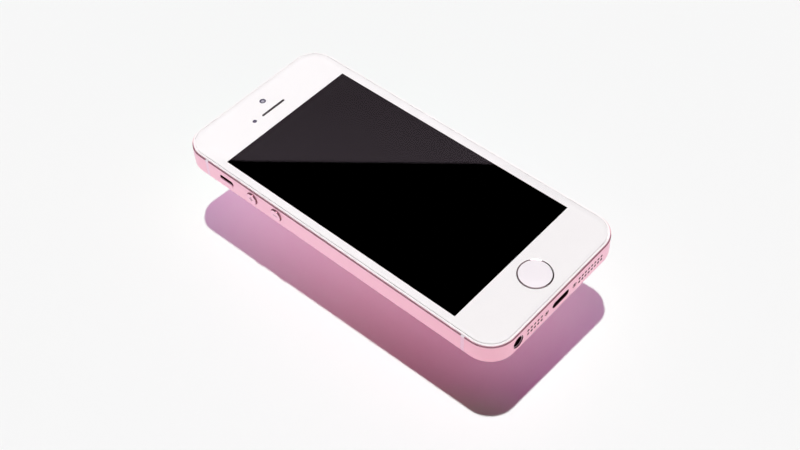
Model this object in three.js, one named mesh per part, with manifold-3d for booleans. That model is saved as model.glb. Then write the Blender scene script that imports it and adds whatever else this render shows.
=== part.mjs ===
// A compact touch-screen telephone: aluminium rear housing, glass-fronted display assembly,
// round home button with a steel ring, side keys, slide-out card tray and the parts inside.
// Millimetres. X runs across the width, Y along the length (+Y is the earpiece end) and
// Z through the thickness (+Z is the display side). Left and right are seen from the display
// side, so left is -X. Origin: centre of the flat back face.
import * as THREE from "three";
import { mergeVertices } from "three/addons/utils/BufferGeometryUtils.js";
import Module from "manifold-3d";

const wasm = await Module();
wasm.setup();

// ---------------------------------------------------------------- driving dimensions
const WIDTH = 58.6, LENGTH = 123.8, THICK = 7.6;
const HALF_W = WIDTH / 2, HALF_L = LENGTH / 2;
const CORNER_R = 8.5, CORNER_SEGS = 9;
const FRONT_CHAMFER = 0.33, BACK_CHAMFER = 0.55;
const BAND_TOP = 7.15; // height of the aluminium band
const RIM = 0.4; // width of metal left beside the display recess
const WALL = 1.6, FLOOR = 1.0, LEDGE_Z = 6.35;
const MID_Z = 3.8; // centre line of the keys and of the card tray
const END_Z = 3.55; // centre line of the sockets, screws and sound holes of the bottom end

const HOME = { x: 0, y: -52.75, ringR: 5.16, ringInnerR: 4.88, holeR: 5.26, flangeR: 6.2 };
const EAR = { y: 50.9, width: 9.6, height: 0.9 };
const FRONT_CAM = { x: 0, y: 55.7 }, SENSOR = { x: -8.0, y: 51.05, radius: 0.8 };

const KEY = { radius: 2.0, holeR: 2.15, proud: 0.4 };
KEY.flange = [6.0, 4.5, 1.2]; // length, height, corner radius
KEY.seat = [6.4, 4.76, 1.4];
const VOL_UP_Y = 30.8, VOL_DOWN_Y = 20.6;
const MUTE = { y: 41.9, slot: [5.6, 2.3, 0.8], capL: 5.3, capH: 1.3, gap: 0.05 };
const POWER = { x: 15.2, length: 9.7, height: 2.3, clearance: 0.3 };
const SIM = { y: 13.0, length: 15.6, height: 2.3, clearance: 0.24, pinY: 19.8 };

const PORT = { width: 7.1, height: 2.0 };
const JACK = { x: -19.0, boreR: 1.75, tubeR: 2.05, holeR: 2.12 };
const SCREW_XS = [-6.4, 6.4];
const CAMERA = { x: 20.4, y: 55.2, holeR: 3.6, ringR: 3.52, ringInnerR: 2.8, lensR: 2.7 };
const FLASH = { x: 12.2, y: 55.2, width: 2.5, length: 4.5 };
const REAR_MIC = { x: 15.25, y: 55.2, radius: 0.5 };

// Two rows of sound holes on each side of the plug socket.
const HOLE = { radius: 0.42, pitch: 1.5, rowZs: [END_Z - 0.78, END_Z + 0.78] };
const holeRow = (firstX, count) =>
  Array.from({ length: count }, (_, i) => firstX + i * HOLE.pitch);
const MIC_HOLES = holeRow(-14.7, 5), SPEAKER_HOLES = holeRow(8.65, 8);

// ---------------------------------------------------------------- outlines
const vectors = (pairs) => pairs.map(([x, y]) => new THREE.Vector2(x, y));
const span = (size, middle = 0) => [middle - size / 2, middle + size / 2];
// A span on the positive or negative side of an axis.
const sideSpan = (side, inner, outer) => (side > 0 ? [inner, outer] : [-outer, -inner]);

const arc = (x, y, radius, startDeg, sweepDeg, segs) =>
  Array.from({ length: segs + 1 }, (_, i) => {
    const angle = THREE.MathUtils.degToRad(startDeg + (sweepDeg * i) / segs);
    return new THREE.Vector2(x + radius * Math.cos(angle), y + radius * Math.sin(angle));
  });
const roundRect = (width, length, radius, segs, x = 0, y = 0) =>
  [[1, 1, 0], [-1, 1, 90], [-1, -1, 180], [1, -1, 270]].flatMap(([sideX, sideY, start]) =>
    arc(x + sideX * (width / 2 - radius), y + sideY * (length / 2 - radius),
      radius, start, 90, segs));
const stadium = (long, short, segs, x = 0, y = 0) =>
  [[1, -90], [-1, 90]].flatMap(([side, start]) =>
    arc(x + side * (long / 2 - short / 2), y, short / 2, start, 180, segs));
const circle = (radius, segs, x = 0, y = 0) => arc(x, y, radius, 0, 360, segs).slice(0, -1);
const star = (lobes, outerR, innerR) =>
  Array.from({ length: lobes * 2 }, (_, i) => {
    const angle = (Math.PI * i) / lobes, radius = i % 2 ? innerR : outerR;
    return new THREE.Vector2(radius * Math.cos(angle), radius * Math.sin(angle));
  });
const swap = (points) => points.map((point) => new THREE.Vector2(point.y, point.x));
const bodyOutline = (inset) =>
  roundRect(WIDTH - 2 * inset, LENGTH - 2 * inset, CORNER_R - inset, CORNER_SEGS);

// ---------------------------------------------------------------- shapes
// A prism between two heights; a chamfer breaks both end edges at 45 degrees.
const prism = (points, [z0, z1], { holes = [], chamfer = 0 } = {}) => {
  const shape = new THREE.Shape(points);
  for (const hole of holes) shape.holes.push(new THREE.Path(hole));
  const geometry = new THREE.ExtrudeGeometry(shape, {
    depth: z1 - z0 - 2 * chamfer, steps: 1,
    bevelEnabled: chamfer > 0, bevelSegments: 1,
    bevelThickness: chamfer, bevelSize: chamfer, bevelOffset: -chamfer,
  });
  return geometry.translate(0, 0, z0 + chamfer);
};
// The same prism laid along X (its points are Y, Z) or along Y (its points are X, Z).
const AXIS_X = new THREE.Vector3(1, 0, 0);
const AXIS_Y = new THREE.Vector3(0, 1, 0);
const AXIS_Z = new THREE.Vector3(0, 0, 1);
const basis = (...axes) => new THREE.Matrix4().makeBasis(...axes);
const alongX = (points, xSpan, { y = 0, z = 0, chamfer } = {}) =>
  prism(points, xSpan, { chamfer }).applyMatrix4(basis(AXIS_Y, AXIS_Z, AXIS_X)).translate(0, y, z);
const alongY = (points, ySpan, { x = 0, z = 0, chamfer } = {}) =>
  prism(swap(points), ySpan, { chamfer })
    .applyMatrix4(basis(AXIS_Z, AXIS_X, AXIS_Y)).translate(x, 0, z);
// Boxes are given by their spans along each axis.
const box = ({ x: [x0, x1], y: [y0, y1], z: [z0, z1] }) =>
  new THREE.BoxGeometry(x1 - x0, y1 - y0, z1 - z0)
    .translate((x0 + x1) / 2, (y0 + y1) / 2, (z0 + z1) / 2);
const roundBox = ({ x: [x0, x1], y: [y0, y1], z, radius, segs, chamfer }) =>
  prism(roundRect(x1 - x0, y1 - y0, radius, segs, (x0 + x1) / 2, (y0 + y1) / 2), z, { chamfer });
// Turned about Z; the profile's columns are radius and height.
const lathe = (profile, segs) =>
  new THREE.LatheGeometry(vectors(profile), segs).rotateX(Math.PI / 2);

// ---------------------------------------------------------------- solids
const solid = (shape) => {
  if (!shape.isBufferGeometry) return shape;
  const bare = shape.index ? shape.toNonIndexed() : shape.clone();
  for (const key of Object.keys(bare.attributes))
    if (key !== "position") bare.deleteAttribute(key);
  const merged = mergeVertices(bare, 1e-4);
  const made = new wasm.Manifold(new wasm.Mesh({
    numProp: 3,
    vertProperties: new Float32Array(merged.attributes.position.array),
    triVerts: new Uint32Array(merged.index.array),
  }));
  if (made.volume() < 0) throw new Error("profile is inside out");
  return made;
};
// Arguments may be geometries, solids or lists of them.
const cut = (body, ...tools) =>
  tools.flat().reduce((left, tool) => left.subtract(solid(tool)), solid(body));
const join = (...parts) => parts.flat().map(solid).reduce((sum, part) => sum.add(part));
const meet = (first, second) => solid(first).intersect(solid(second));
// Edges shorter than two microns left by the cuts are closed up.
const geometryOf = (shape) => {
  const mesh = shape.asOriginal().simplify(0.002).getMesh();
  const geometry = new THREE.BufferGeometry();
  geometry.setAttribute("position", new THREE.BufferAttribute(mesh.vertProperties, 3));
  geometry.setIndex(new THREE.BufferAttribute(mesh.triVerts, 1));
  const flat = geometry.toNonIndexed();
  flat.computeVertexNormals();
  return flat;
};

// ---------------------------------------------------------------- materials
const FINISH = {
  pink: { color: 0xeebdca, roughness: 0.42, metalness: 0.75 },
  pinkBright: { color: 0xf3c4cf, roughness: 0.3, metalness: 0.85 },
  whiteGlass: { color: 0xf7f3f4, roughness: 0.08 },
  whitePlastic: { color: 0xf3eef0, roughness: 0.35 },
  blackGlass: { color: 0x08080a, roughness: 0.06 },
  clear: { color: 0xdfe6ea, roughness: 0.03 },
  steel: { color: 0xb9bcc0, roughness: 0.35, metalness: 1 },
  ringSteel: { color: 0xd9b8be, roughness: 0.2, metalness: 1 },
  black: { color: 0x151517, roughness: 0.6 },
  darkPlastic: { color: 0x2a2a2d, roughness: 0.5 },
  rubber: { color: 0x1b1b1b, roughness: 0.85 },
  board: { color: 0x123a2c, roughness: 0.55 },
  flex: { color: 0x5a3a1a, roughness: 0.5 },
  battery: { color: 0x1d1e20, roughness: 0.6 },
  brass: { color: 0xc9a35a, roughness: 0.3, metalness: 1 },
  yellow: { color: 0xe8d46a, roughness: 0.4 },
};

const phone = new THREE.Group();
const housing = new THREE.Group(), display = new THREE.Group(), inside = new THREE.Group();
const keys = new THREE.Group(), cardSlot = new THREE.Group();
phone.add(housing, display, inside, keys, cardSlot);
const add = (group, name, shape, finish, at = [0, 0, 0]) => {
  const geometry = shape.isBufferGeometry ? shape : geometryOf(shape);
  const mesh = new THREE.Mesh(geometry, new THREE.MeshStandardMaterial(FINISH[finish]));
  mesh.name = name;
  mesh.position.set(...at);
  group.add(mesh);
};

// ---------------------------------------------------------------- rear housing
const BREAK = { width: 1.2, depth: 0.9, slack: 0.03 }; // antenna breaks in the band
const BREAK_TOP_Y = 50.3, BREAK_BOTTOM_Y = -50.7;
const BREAKS = [ // name, side, Y
  ["right_top", 1, BREAK_TOP_Y], ["right_bottom", 1, BREAK_BOTTOM_Y],
  ["left_top", -1, BREAK_TOP_Y], ["left_bottom", -1, BREAK_BOTTOM_Y],
];
const INLAY = { y: 49.7, inset: 1.3, depth: 0.6, gap: 0.05, sunk: 0.04 }; // rear glass inlays
const BOSSES = [[8.9, -27.0], [25.9, 22.6], [-12.6, 45.0]]; // X, Y of the logic board posts
const OPEN_TOP = 9; // height that clears the whole body
// Spans of the cutters that go through each wall.
const BACK_CUT = [-1, 3], BOTTOM_CUT = [-64, -59], TOP_CUT = [59, 64];
const LEFT_CUT = [-32, -27], RIGHT_CUT = [26, 32];
const SEAT_CUT = [-28.52, -27]; // pockets for the key flanges on the inner left wall

const band = meet(
  prism(bodyOutline(0), [0, BAND_TOP], { chamfer: FRONT_CHAMFER }),
  prism(bodyOutline(0), [0, 20], { chamfer: BACK_CHAMFER }));
const inlay = (end, gap, [z0, z1]) => meet(
  prism(bodyOutline(INLAY.inset + gap), [z0, z1]),
  box({ x: [-40, 40], y: sideSpan(end, INLAY.y + gap, 80), z: [z0 - 1, z1 + 1] }));
const breakBox = (side, y, slack) => box({
  x: sideSpan(side, HALF_W - BREAK.depth + slack, HALF_W + 1),
  y: span(BREAK.width - 2 * slack, y),
  z: [-1, OPEN_TOP],
});
const flashOutline = (grow, x = 0, y = 0) =>
  swap(stadium(FLASH.length + grow, FLASH.width + grow, 6, y, x));
const rearOpenings = [
  prism(circle(CAMERA.holeR, 32, CAMERA.x, CAMERA.y), BACK_CUT),
  prism(flashOutline(0.1, FLASH.x, FLASH.y), BACK_CUT),
  prism(circle(REAR_MIC.radius, 12, REAR_MIC.x, REAR_MIC.y), BACK_CUT),
];
const portOutline = (grow) => stadium(PORT.width + grow, PORT.height + grow, 8);

const bottomCuts = [
  alongY(portOutline(0.4), BOTTOM_CUT, { z: END_Z }),
  alongY(circle(JACK.holeR, 28), BOTTOM_CUT, { x: JACK.x, z: END_Z }),
  SCREW_XS.map((x) => [
    alongY(circle(0.92, 18), [-64, -61.15], { x, z: END_Z }), // head
    alongY(circle(0.6, 14), BOTTOM_CUT, { x, z: END_Z }), // shank
  ]),
  [...MIC_HOLES, ...SPEAKER_HOLES].map((x) =>
    HOLE.rowZs.map((z) => alongY(circle(HOLE.radius, 10), BOTTOM_CUT, { x, z }))),
].flat(2);
const leftCuts = [
  ...[VOL_UP_Y, VOL_DOWN_Y].flatMap((y) => [
    alongX(circle(KEY.holeR, 28), LEFT_CUT, { y, z: MID_Z }),
    alongX(roundRect(...KEY.seat, 4), SEAT_CUT, { y, z: MID_Z }),
  ]),
  alongX(roundRect(...MUTE.slot, 5), LEFT_CUT, { y: MUTE.y, z: MID_Z }),
  alongX(roundRect(7.8, 3.8, 0.6, 3), SEAT_CUT, { y: MUTE.y, z: MID_Z }),
];
const topCuts = [
  alongY(stadium(POWER.length + POWER.clearance, POWER.height + POWER.clearance, 7),
    TOP_CUT, { x: POWER.x, z: MID_Z }),
  alongY(stadium(11.8, 3.7, 7), [59, 61.12], { x: POWER.x, z: MID_Z }),
];
const cardCut = alongX(stadium(SIM.length + SIM.clearance, SIM.height + SIM.clearance, 8),
  RIGHT_CUT, { y: SIM.y, z: MID_Z });

const shell = cut(band,
  prism(bodyOutline(RIM), [LEDGE_Z, OPEN_TOP]),
  prism(bodyOutline(WALL), [FLOOR, OPEN_TOP]),
  [1, -1].map((end) => inlay(end, 0, [-1, INLAY.depth])),
  rearOpenings,
  BREAKS.map(([, side, y]) => breakBox(side, y, 0)),
  bottomCuts, leftCuts, topCuts, cardCut);
const posts = BOSSES.map(([x, y]) => prism(circle(1.3, 16, x, y), [FLOOR - 0.2, 1.85]));
add(housing, "rear_housing", join(shell, posts), "pink");

for (const [name, side, y] of BREAKS)
  add(housing, `antenna_break_${name}`, cut(
    meet(band, breakBox(side, y, BREAK.slack)),
    prism(bodyOutline(RIM - BREAK.slack), [LEDGE_Z - BREAK.slack, OPEN_TOP])), "whitePlastic");

const inlayGlass = (end) => inlay(end, INLAY.gap, [0, INLAY.depth - INLAY.sunk]);
add(housing, "rear_glass_top", cut(inlayGlass(1), rearOpenings), "whiteGlass");
add(housing, "rear_glass_bottom", inlayGlass(-1), "whiteGlass");

const cameraAt = [CAMERA.x, CAMERA.y, 0], flashAt = [FLASH.x, FLASH.y, 0];
add(housing, "camera_lens_ring",
  prism(circle(CAMERA.ringR, 40), [0, 0.95], { holes: [circle(CAMERA.ringInnerR, 32)] }),
  "pinkBright", cameraAt);
add(housing, "camera_lens_cover",
  prism(circle(CAMERA.lensR, 32), [0.12, 0.62]), "blackGlass", cameraAt);
add(housing, "flash_lens", prism(flashOutline(0), [0.03, 0.85]), "clear", flashAt);
add(housing, "rear_microphone_mesh",
  prism(circle(REAR_MIC.radius - 0.04, 12), [0.2, 0.9]), "black", [REAR_MIC.x, REAR_MIC.y, 0]);

// Case screws: flush heads with a small star recess.
const screw = cut(
  join(alongY(circle(0.84, 18), [-61.84, -61.2]), alongY(circle(0.5, 12), [-61.3, -58.7])),
  alongY(star(5, 0.52, 0.3), [-62.5, -61.5]));
["left", "right"].forEach((side, i) =>
  add(housing, `case_screw_${side}`, screw, "steel", [SCREW_XS[i], 0, END_Z]));

const soundMesh = (holes, margin = 0.8) => box({
  x: [holes[0] - margin, holes.at(-1) + margin], y: [-60.25, -60.07], z: span(2.6, END_Z) });
add(housing, "microphone_mesh", soundMesh(MIC_HOLES), "black");
add(housing, "speaker_mesh", soundMesh(SPEAKER_HOLES), "black");

// ---------------------------------------------------------------- sockets
add(inside, "charging_port", cut(
  join(
    alongY(portOutline(0.3), [-61.6, -60.0]),
    roundBox({ x: span(8.6), y: [-60.15, -53.4], z: [-1.27, 1.24], radius: 0.3, segs: 2 })),
  alongY(portOutline(0), [-63, -55.0])), "steel", [0, 0, END_Z]);

const CONTACT = { count: 8, firstX: -2.66, pitch: 0.7, width: 0.42 };
const contacts = Array.from({ length: CONTACT.count }, (_, i) => {
  const x = CONTACT.firstX + i * CONTACT.pitch;
  return box({ x: [x, x + CONTACT.width], y: [-59.4, -55.6], z: [-0.66, -0.5] });
});
add(inside, "charging_port_contacts",
  join(box({ x: span(5.44), y: [-59.6, -55.1], z: [-0.8, -0.62] }), contacts),
  "brass", [0, 0, END_Z]);

add(inside, "headphone_jack", cut(
  join(
    alongY(circle(JACK.tubeR, 28), [-61.62, -59.0]),
    roundBox({ x: span(5.4), y: [-59.9, -46.4], z: [-2.35, 2.3], radius: 0.5, segs: 2 })),
  alongY(circle(JACK.boreR, 28), [-63, -48.4])), "darkPlastic", [JACK.x, 0, END_Z]);

// ---------------------------------------------------------------- display assembly
const PANEL = { x: span(51.2), y: span(91.4) };
const ACTIVE = { x: span(49.92), y: span(88.5) };
const INK_WINDOW = { x: span(51.2), y: span(90.0) }; // leaves a dark margin of panel showing
const FRAME_LIP = 0.9, GLASS_INSET = 1.03; // the gap between them is the line round the glass
const FRONT_CUT = [6, 9]; // cutters through the glass and its border
const UNDER_INK_Z = 6.84; // top of the parts that sit below the border
const earAt = [0, EAR.y, 0], homeAt = [HOME.x, HOME.y, 0];

const frameRim = cut(
  prism(bodyOutline(RIM + 0.05), [LEDGE_Z + 0.05, 7.42]),
  prism(bodyOutline(FRAME_LIP), [6.85, 9]),
  prism(bodyOutline(2.2), [5, 9]));
const screwTabs = SCREW_XS.map((x) =>
  box({ x: span(2.4, x), y: [-59.95, -58.6], z: [2.5, 6.85] }));
add(display, "display_frame", cut(join(frameRim, screwTabs),
  SCREW_XS.map((x) => alongY(circle(0.56, 14), [-61, -57], { x, z: END_Z }))), "whitePlastic");

const homeHole = (gap) => prism(circle(HOME.holeR + gap, 48, HOME.x, HOME.y), FRONT_CUT);
const earSlot = prism(stadium(EAR.width, EAR.height, 7, 0, EAR.y), FRONT_CUT);
add(display, "cover_glass", cut(
  prism(bodyOutline(GLASS_INSET), [6.95, THICK], { chamfer: 0.1 }),
  homeHole(0), earSlot), "whiteGlass");
// White ink on the underside of the glass, with its windows.
add(display, "cover_border", cut(prism(bodyOutline(1.1), [6.87, 6.93]),
  box({ ...INK_WINDOW, z: [6, 8] }),
  homeHole(0.06), earSlot,
  prism(circle(1.15, 24, FRONT_CAM.x, FRONT_CAM.y), FRONT_CUT),
  prism(circle(SENSOR.radius, 20, SENSOR.x, SENSOR.y), FRONT_CUT)), "whitePlastic");

add(display, "lcd_panel",
  cut(box({ ...PANEL, z: [5.45, UNDER_INK_Z] }), box({ ...ACTIVE, z: [6.8, 8] })), "blackGlass");
add(display, "backlight_shield", cut(
  roundBox({ ...PANEL, z: [5.15, 5.41], radius: 1.2, segs: 2 }),
  roundBox({ x: span(24), y: span(40), z: [5.29, 6], radius: 2, segs: 2 }),
  [-22.5, 22.5].flatMap((x) =>
    [-42, 0, 42].map((y) => prism(circle(0.8, 10, x, y), [5, 6])))), "steel");

add(display, "earpiece_mesh",
  prism(stadium(EAR.width - 0.12, EAR.height - 0.12, 6), [6.98, 7.3]), "black", earAt);
add(display, "earpiece_speaker", cut(
  roundBox({ x: span(12.4), y: [-2.45, 2.25], z: [4.5, 6.82], radius: 0.8, segs: 3 }),
  prism(stadium(EAR.width - 0.6, EAR.height, 5), [6.4, 8])), "darkPlastic", earAt);
add(display, "front_camera_module", join(
  roundBox({ x: span(4.6), y: span(4.6), z: [4.6, 6.2], radius: 0.5, segs: 2 }),
  prism(circle(1.5, 24), [6.1, UNDER_INK_Z])), "darkPlastic", [FRONT_CAM.x, FRONT_CAM.y, 0]);
add(display, "proximity_sensor", join(
  box({ x: span(3), y: span(3.4), z: [5.7, 6.4] }),
  prism(circle(SENSOR.radius, 16), [6.3, UNDER_INK_Z])), "black", [SENSOR.x, SENSOR.y, 0]);

const FLEX_PROFILE = [ // Y, Z
  [46.6, 5.9], [49.5, 5.9], [49.5, 2.68], [48.4, 2.68],
  [48.4, 2.86], [49.32, 2.86], [49.32, 5.72], [46.6, 5.72],
];
add(display, "display_flex", alongX(vectors(FLEX_PROFILE), [9.0, 15.4]), "flex");

// ---------------------------------------------------------------- home button
// The flange of the steel ring is retained by the glass. Profiles: radius, Z.
const RING_PROFILE = [
  [HOME.ringInnerR, 6.2], [HOME.flangeR, 6.2], [HOME.flangeR, 6.8], [HOME.ringR, 6.8],
  [HOME.ringR, 7.44], [HOME.ringR - 0.08, 7.5], [HOME.ringInnerR, 7.38], [HOME.ringInnerR, 6.2],
];
const DISC_R = HOME.ringInnerR - 0.05;
const DISC_PROFILE = [[0, 6.78], [DISC_R, 6.78], [DISC_R, 7.34], [3.2, 7.2], [0, 7.12]];
const SWITCH_PROFILE = [[0, 5.5], [1.7, 5.5], [1.7, 5.66], [1.0, 5.78], [0, 5.8]];

add(keys, "home_button_ring", lathe(RING_PROFILE, 48), "ringSteel", homeAt);
add(keys, "home_button_disc", lathe(DISC_PROFILE, 48), "whiteGlass", homeAt);
add(keys, "home_button_sensor",
  prism(circle(HOME.ringInnerR - 0.08, 32), [6.16, 6.74]), "black", homeAt);
add(display, "home_button_gasket",
  prism(circle(6.8, 36), [6.35, UNDER_INK_Z], { holes: [circle(6.35, 36)] }), "rubber", homeAt);
add(display, "home_button_switch", join(
  roundBox({ x: span(5.2), y: span(5.2), z: [5.3, 5.6], radius: 0.4, segs: 2 }),
  lathe(SWITCH_PROFILE, 24)), "steel", homeAt);
add(display, "home_button_bracket", cut(
  roundBox({ x: span(19), y: [-58.3, -46.6], z: [5.12, 5.27], radius: 1.5, segs: 3 }),
  [-8.2, 8.2].map((x) => prism(circle(0.6, 12, x, -48), [5, 6]))), "steel");

// ---------------------------------------------------------------- side keys
const KEY_FACE_X = -HALF_W - KEY.proud;
const MARK = { x: [-HALF_W - 1, KEY_FACE_X + 0.1], length: span(1.7), width: span(0.26) };
const DOME_R = 1.1; // dome of a key switch

// Round keys: a chamfered face marked plus or minus, and a flange on the inside.
const minusMark = box({ x: MARK.x, y: MARK.length, z: MARK.width });
const plusMark = [minusMark, box({ x: MARK.x, y: MARK.width, z: MARK.length })];
const roundKey = (mark) => cut(
  join(
    alongX(circle(KEY.radius, 28), [KEY_FACE_X, -28.2], { chamfer: 0.22 }),
    alongX(roundRect(...KEY.flange, 4), [-28.5, -28.02])),
  mark);
add(keys, "volume_up_button", roundKey(plusMark), "pinkBright", [0, VOL_UP_Y, MID_Z]);
add(keys, "volume_down_button", roundKey(minusMark), "pinkBright", [0, VOL_DOWN_Y, MID_Z]);

// The mute cap rests near the back edge of its slot.
const muteZ = MID_Z - MUTE.slot[1] / 2 + MUTE.gap + MUTE.capH / 2;
add(keys, "mute_switch", join(
  alongX(stadium(MUTE.capL, MUTE.capH, 6), [-HALF_W - 0.35, -28.2], { chamfer: 0.12 }),
  alongX(roundRect(7.2, 2.3, 0.3, 2), [-28.45, -28.0])), "pinkBright", [0, MUTE.y, muteZ]);
add(keys, "power_button", join(
  alongY(stadium(POWER.length, POWER.height, 8), [60.8, HALF_L + 0.45], { chamfer: 0.22 }),
  alongY(stadium(11.2, 3.2, 7), [60.58, 61.1])), "pinkBright", [POWER.x, 0, MID_Z]);

for (const [name, y] of [["up", VOL_UP_Y], ["down", VOL_DOWN_Y]])
  add(keys, `volume_${name}_switch`, join(
    box({ x: [-27.3, -26.8], y: span(3.6), z: span(3.2) }),
    alongX(circle(DOME_R, 18), [-27.62, -27.2])), "steel", [0, y, MID_Z]);
add(keys, "mute_contact_switch", cut(
  box({ x: [-27.6, -26.8], y: span(5.8), z: span(3.2) }),
  box({ x: [-28, -27.3], y: span(4.4), z: span(2.2) })), "darkPlastic", [0, MUTE.y, MID_Z]);
add(keys, "side_key_bracket", cut(
  box({ x: [-26.75, -26.45], y: [16.4, 46.0], z: [1.3, 5.0] }),
  [25.8, 36.2].map((y) => alongX(circle(0.8, 12), [-28, -25], { y, z: MID_Z }))), "steel");
add(keys, "power_switch", join(
  box({ x: span(5.2), y: [59.45, 59.95], z: span(2.8) }),
  alongY(circle(DOME_R, 18), [59.85, 60.2])), "steel", [POWER.x - 1.2, 0, MID_Z]);

// ---------------------------------------------------------------- card tray and its ejector
// All but the card are drawn about this point.
const simAt = [0, SIM.y, MID_Z];
const PIN_Y = SIM.pinY - SIM.y; // pin hole and eject rod
const PIVOT = { x: 14.9, y: 2.8 }; // of the eject lever
const LEVER_X = span(0.8, PIVOT.x), LEVER_Z = span(0.6);
const CARD = { width: 8.8, length: 12.3, cutX: 1.5, cutY: 1.55 };

const trayFace = cut(
  alongX(stadium(SIM.length, SIM.height, 8), [28.3, HALF_W]),
  alongX(circle(0.45, 14), RIGHT_CUT, { y: PIN_Y }));
const trayFrame = cut(
  roundBox({ x: [17.0, 28.5], y: [-7.4, 5.8], z: span(0.9), radius: 0.5, segs: 3 }),
  roundBox({ x: [18.0, 26.95], y: [-7.0, 5.4], z: [-0.28, 2], radius: 0.3, segs: 2 }),
  roundBox({ x: [18.6, 26.3], y: [-6.3, 4.7], z: [-2, 2], radius: 0.8, segs: 3 }));
add(cardSlot, "sim_tray", join(trayFace, trayFrame), "pinkBright", simAt);

// The card's +X, -Y corner is cut off: its rounded corner gives way to two points.
const cardOutline = [
  ...roundRect(CARD.width, CARD.length, 0.5, 2).filter(({ x, y }) => !(x > 3.2 && y < -4.9)),
  ...vectors([
    [CARD.width / 2, -CARD.length / 2 + CARD.cutY],
    [CARD.width / 2 - CARD.cutX, -CARD.length / 2],
  ]),
].sort((a, b) => Math.atan2(a.y, a.x) - Math.atan2(b.y, b.x));
add(cardSlot, "sim_card",
  prism(cardOutline, [-0.24, 0.43]), "whitePlastic", [22.475, SIM.y - 0.8, MID_Z]);

const readerShell = cut(
  join(
    box({ x: [14.0, 27.2], y: [-8.2, 6.25], z: [-1.15, 0.85] }),
    box({ x: [14.0, 27.2], y: [-8.2, 7.4], z: [-1.15, -0.62] })),
  box({ x: [10, 30], y: [-7.6, 6.0], z: span(1.2) }),
  box({ x: [10, 17.6], y: [-9, 6.5], z: [-0.6, 2] }));
const pivotPin = prism(circle(0.4, 14, PIVOT.x, PIVOT.y), [-0.8, 0.55]);
add(cardSlot, "sim_reader", join(readerShell, pivotPin), "steel", simAt);
add(cardSlot, "sim_eject_rod",
  box({ x: [15.5, 26.9], y: span(0.8, PIN_Y), z: span(0.8) }), "steel", simAt);
add(cardSlot, "sim_eject_lever", cut(
  join(
    box({ x: LEVER_X, y: [-0.8, 7.2], z: LEVER_Z }),
    prism(circle(0.95, 18, PIVOT.x, PIVOT.y), LEVER_Z),
    box({ x: [LEVER_X[0], 16.0], y: [-0.8, 0.2], z: LEVER_Z })),
  prism(circle(0.45, 14, PIVOT.x, PIVOT.y), [-1, 1])), "steel", simAt);

// ---------------------------------------------------------------- inside
const FLOOR_PART_Z = FLOOR + 0.06; // underside of the parts that lie on the floor

add(inside, "rear_camera_module", join(
  roundBox({ x: span(8), y: span(8), z: [1.3, 6.1], radius: 1.5, segs: 4 }),
  prism(circle(2.6, 28), [0.72, 1.5])), "darkPlastic", cameraAt);
add(inside, "flash_module", join(
  box({ x: span(2.9), y: span(5.8), z: [FLOOR_PART_Z, 1.9] }),
  box({ x: span(1.6), y: span(3.2), z: [0.95, 1.2] })), "yellow", flashAt);

add(inside, "battery", roundBox({
  x: [-26.2, 6.4], y: [-44.5, 38.0], z: [1.1, 4.9], radius: 1.0, segs: 3, chamfer: 0.25,
}), "battery");
add(inside, "battery_flex", join(
  box({ x: [6.6, 12.0], y: [2.0, 4.4], z: [2.66, 2.9] }),
  box({ x: [8.8, 11.8], y: [2.1, 4.3], z: [2.8, 3.7] })), "flex");

const BOARD_OUTLINE = [ // X, Y
  [7.6, -28.6], [27.1, -28.6], [27.1, 50.0], [-14, 50.0], [-14, 40.0], [7.6, 40.0],
];
add(inside, "logic_board", cut(
  join(
    prism(vectors(BOARD_OUTLINE), [1.9, 2.6]),
    box({ x: [-11, -4], y: [41, 48], z: [2.5, 3.5] }),
    box({ x: [-2, 5], y: [42, 47], z: [2.5, 3.3] })),
  BOSSES.map(([x, y]) => prism(circle(0.7, 12, x, y), [1, 4]))), "board");

// Shield cans, open towards the board.
const CAN_X = [8.6, 26.2], CAN_WALL = 0.2;
const shrink = ([from, to]) => [from + CAN_WALL, to - CAN_WALL];
const can = (y, top) => cut(
  roundBox({ x: CAN_X, y, z: [2.64, top], radius: 0.6, segs: 2 }),
  box({ x: shrink(CAN_X), y: shrink(y), z: [2, top - CAN_WALL] }));
add(inside, "board_shield_lower", can([-25.4, 0.6], 4.7), "steel");
add(inside, "board_shield_upper", can([24.4, 47.6], 4.5), "steel");

add(inside, "loudspeaker_module", cut(
  meet(
    prism(bodyOutline(1.9), [FLOOR_PART_Z, 4.9]),
    box({ x: [8.4, 40], y: [-59.4, -30.6], z: [0, 9] })),
  box({ x: [8.9, 19.3], y: [-61, -58.4], z: [2.2, 4.6] }),
  prism(circle(4.2, 28, 18.6, -39.5), [4.4, 6])), "darkPlastic");
add(inside, "dock_flex", cut(
  box({ x: [-15.6, 7.9], y: [-59.6, -45.2], z: [FLOOR_PART_Z, 1.3] }),
  box({ x: span(12), y: [-52, -46.6], z: [0, 3] })), "flex");
add(inside, "bottom_microphone", roundBox({
  x: [-14.4, -9.4], y: [-59.5, -56.6], z: [1.36, 4.6], radius: 0.4, segs: 2 }), "steel");

// Vibration motor, and the half-round weight on its shaft.
const MOTOR = { x: -22.0, z: 3.1 };
add(inside, "vibration_motor", cut(
  join(
    alongY(circle(1.8, 24), [41.0, 49.0], MOTOR),
    box({ x: span(4, MOTOR.x), y: [42.0, 47.5], z: [FLOOR_PART_Z, 2.2] })),
  alongY(circle(0.38, 12), [44, 50], MOTOR)), "steel");
add(inside, "vibration_weight", join(
  alongY(arc(0, 0, 1.75, 0, 180, 12), [49.6, 53.6], { z: -0.35 }),
  alongY(circle(0.6, 14), [49.4, 53.8]),
  alongY(circle(0.3, 12), [45.0, 50.0])), "brass", [MOTOR.x, 0, MOTOR.z]);

export default phone;
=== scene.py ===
import math
import bpy
import bmesh
from mathutils import Matrix, Vector


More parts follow.
